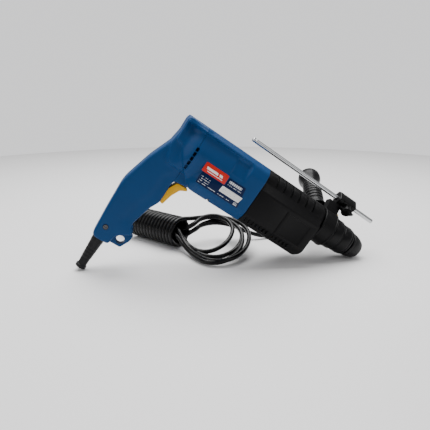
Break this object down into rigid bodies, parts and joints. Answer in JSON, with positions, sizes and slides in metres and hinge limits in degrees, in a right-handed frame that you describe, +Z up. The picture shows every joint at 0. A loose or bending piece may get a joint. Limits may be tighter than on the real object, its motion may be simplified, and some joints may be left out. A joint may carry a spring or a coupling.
{
  "type": "rotary hammer",
  "caption": "Mains rotary hammer with chuck sleeve, side handle, depth rod and bound cord, resting nose down on its chuck and cord guard.",
  "frame": {"origin": "bottom centre of the tool without its cord, on the surface it rests on", "axes": "+X towards the chuck end along the longest extent, +Y towards the side handle, +Z up"},
  "size_m": [0.4693, 0.2349, 0.2208],
  "materials": {
    "blue_plastic": "moulded, fine grain",
    "black_plastic": "moulded, satin",
    "yellow_plastic": "moulded, semi gloss",
    "rubber": "matt",
    "zinc_steel": "bright",
    "machined_steel": "ground",
    "cast_aluminium": "cast",
    "lamination_steel": "varnished stack",
    "copper": "enamelled",
    "carbon": "pressed",
    "navy_label": "printed foil",
    "red_plate": "printed plate",
    "white_sticker": "paper foil"
  },
  "bodies": {
    "root": {"motor_housing": "blue_plastic", "handle_shell_right": "blue_plastic", "handle_shell_left": "blue_plastic", "gear_housing": "black_plastic", "front_collar": "black_plastic", "brush_holders": "black_plastic", "switch_body": "black_plastic", "cord_clamp": "black_plastic", "cord_guard": "rubber", "oil_seal": "rubber", "cord_tail": "rubber", "cord_lead": "rubber", "cord_hank": "rubber", "plug_body": "rubber", "housing_screws": "zinc_steel", "handle_screw": "zinc_steel", "plug_pins": "zinc_steel", "spindle_rear_bearing": "machined_steel", "spindle_front_bearing": "machined_steel", "intermediate_rear_bearing": "machined_steel", "intermediate_front_bearing": "machined_steel", "armature_rear_bearing": "machined_steel", "armature_front_bearing": "machined_steel", "trigger_spring": "machined_steel", "brush_springs": "machined_steel", "bearing_bridge": "cast_aluminium", "stator_core": "lamination_steel", "field_coils": "copper", "carbon_brushes": "carbon", "rating_label": "navy_label", "badge_plate": "red_plate", "inspection_sticker": "white_sticker"},
    "armature": {"armature_shaft": "machined_steel", "armature_core": "lamination_steel", "commutator": "copper", "cooling_fan": "black_plastic", "motor_pinion": "machined_steel"},
    "intermediate": {"intermediate_shaft": "machined_steel", "first_gear": "machined_steel", "second_pinion": "machined_steel", "wobble_drum": "machined_steel"},
    "spindle": {"spindle_tube": "machined_steel", "spindle_gear": "machined_steel", "locking_balls": "machined_steel", "front_cap": "rubber", "sleeve_spring": "machined_steel"},
    "chuck_sleeve": {"lock_sleeve": "black_plastic"},
    "wobble": {"wobble_ring": "machined_steel"},
    "piston": {"piston": "machined_steel"},
    "striker": {"striker": "machined_steel"},
    "impact_bolt": {"impact_bolt": "machined_steel"},
    "trigger": {"trigger": "yellow_plastic"},
    "lock_button": {"lock_button": "black_plastic"},
    "mode_knob": {"mode_knob": "black_plastic"},
    "side_handle": {"clamp_band": "black_plastic", "rod_clamp": "black_plastic", "grip_bolt": "zinc_steel"},
    "side_grip": {"side_grip": "black_plastic"},
    "depth_rod": {"depth_rod": "zinc_steel"},
    "wing_screw": {"wing_screw": "black_plastic"}
  },
  "joints": [
    {"name": "armature_spin", "type": "hinge", "parent": "root", "child": "armature", "pos_m": [-0.01188, -0.06468, 0.14397], "axis": [0.8261, 0, -0.5635], "continuous": true},
    {"name": "intermediate_spin", "type": "hinge", "parent": "root", "child": "intermediate", "pos_m": [0.05912, -0.06468, 0.0706], "axis": [0.8261, 0, -0.5635], "continuous": true},
    {"name": "spindle_spin", "type": "hinge", "parent": "root", "child": "spindle", "pos_m": [0.14211, -0.06468, 0.0503], "axis": [0.8261, 0, -0.5635], "continuous": true},
    {"name": "sleeve_slide", "type": "slide", "parent": "spindle", "child": "chuck_sleeve", "axis": [0.8261, 0, -0.5635], "range_m": [-0.008, 0], "stiffness_N_per_m": 600, "springref_m": 0.004, "deforming": ["sleeve_spring"]},
    {"name": "wobble_swing", "type": "hinge", "parent": "root", "child": "wobble", "pos_m": [0.0554, -0.06468, 0.07313], "axis": [0, 1, 0], "range_deg": [-13, 13]},
    {"name": "piston_slide", "type": "slide", "parent": "root", "child": "piston", "axis": [0.8261, 0, -0.5635], "range_m": [-0.0068, 0.0068]},
    {"name": "striker_slide", "type": "slide", "parent": "root", "child": "striker", "axis": [0.8261, 0, -0.5635], "range_m": [-0.0035, 0.003]},
    {"name": "impact_bolt_slide", "type": "slide", "parent": "root", "child": "impact_bolt", "axis": [0.8261, 0, -0.5635], "range_m": [-0.0015, 0.008]},
    {"name": "trigger_pull", "type": "hinge", "parent": "root", "child": "trigger", "pos_m": [-0.07517, -0.06468, 0.11862], "axis": [0, 1, 0], "range_deg": [0, 8], "stiffness_Nm_per_rad": 1.2, "springref_deg": -8.59, "deforming": ["trigger_spring"]},
    {"name": "lock_button_press", "type": "slide", "parent": "root", "child": "lock_button", "axis": [0, -1, 0], "range_m": [0, 0.0025], "stiffness_N_per_m": 400, "springref_m": -0.002},
    {"name": "mode_select", "type": "hinge", "parent": "root", "child": "mode_knob", "pos_m": [0.06193, -0.02668, 0.07473], "axis": [0, 1, 0], "range_deg": [0, 90]},
    {"name": "side_handle_swivel", "type": "hinge", "parent": "root", "child": "side_handle", "pos_m": [0.13881, -0.06468, 0.05255], "axis": [0.8261, 0, -0.5635], "range_deg": [-25, 60]},
    {"name": "grip_turn", "type": "hinge", "parent": "side_handle", "child": "side_grip", "pos_m": [0.15762, 0.02958, 0.08013], "axis": [0.1881, 0.9426, 0.2758], "range_deg": [0, 360]},
    {"name": "depth_rod_slide", "type": "slide", "parent": "side_handle", "child": "depth_rod", "axis": [0.8261, 0, -0.5635], "range_m": [-0.035, 0.085]},
    {"name": "wing_screw_turn", "type": "hinge", "parent": "side_handle", "child": "wing_screw", "pos_m": [0.18196, -0.05697, 0.07322], "axis": [-0.3232, -0.8192, -0.4738], "range_deg": [0, 270]}
  ],
  "couplings": [
    {"joint": "intermediate_spin", "follows": "armature_spin", "ratio": -0.17021},
    {"joint": "spindle_spin", "follows": "armature_spin", "ratio": 0.065889},
    {"joint": "wobble_swing", "follows": "piston_slide", "rad_per_m": 33.333}
  ]
}
